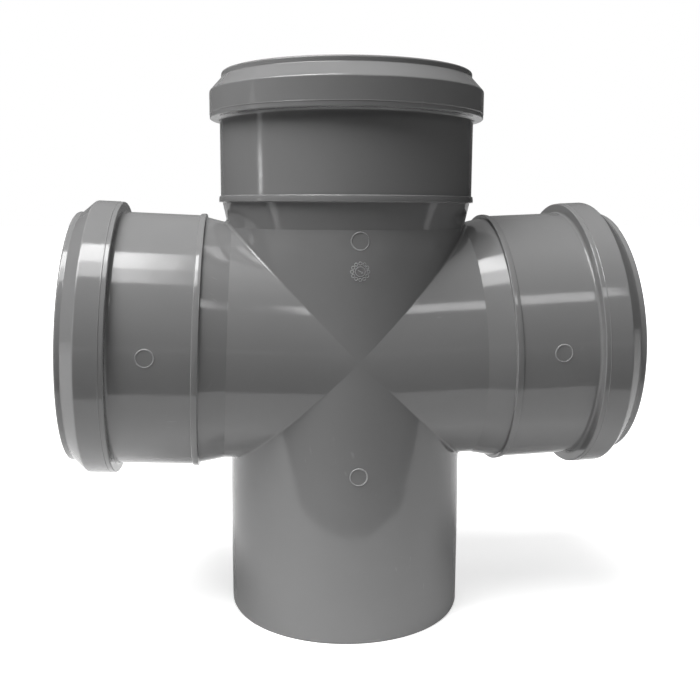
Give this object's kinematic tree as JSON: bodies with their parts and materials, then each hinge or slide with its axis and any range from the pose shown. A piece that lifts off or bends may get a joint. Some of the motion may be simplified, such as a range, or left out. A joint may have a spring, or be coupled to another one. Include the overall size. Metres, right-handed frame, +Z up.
{
  "type": "double branch drain fitting",
  "caption": "Grey plastic drain fitting: a straight run with a ring-seal socket on top and a plain spigot below, crossed by opposite branches with like sockets.",
  "frame": {"origin": "centre of the spigot's end, where the fitting stands", "axes": "+Z up the run to the top socket, +X towards the right branch, -Y towards the front"},
  "size_m": [0.2546, 0.1254, 0.2504],
  "materials": {
    "grey_plastic": "satin moulded polypropylene",
    "black_rubber": "smooth moulded rubber"
  },
  "bodies": {
    "root": {"fitting_body": "grey_plastic", "seal_top": "black_rubber", "seal_left": "black_rubber", "seal_right": "black_rubber"}
  },
  "joints": []
}
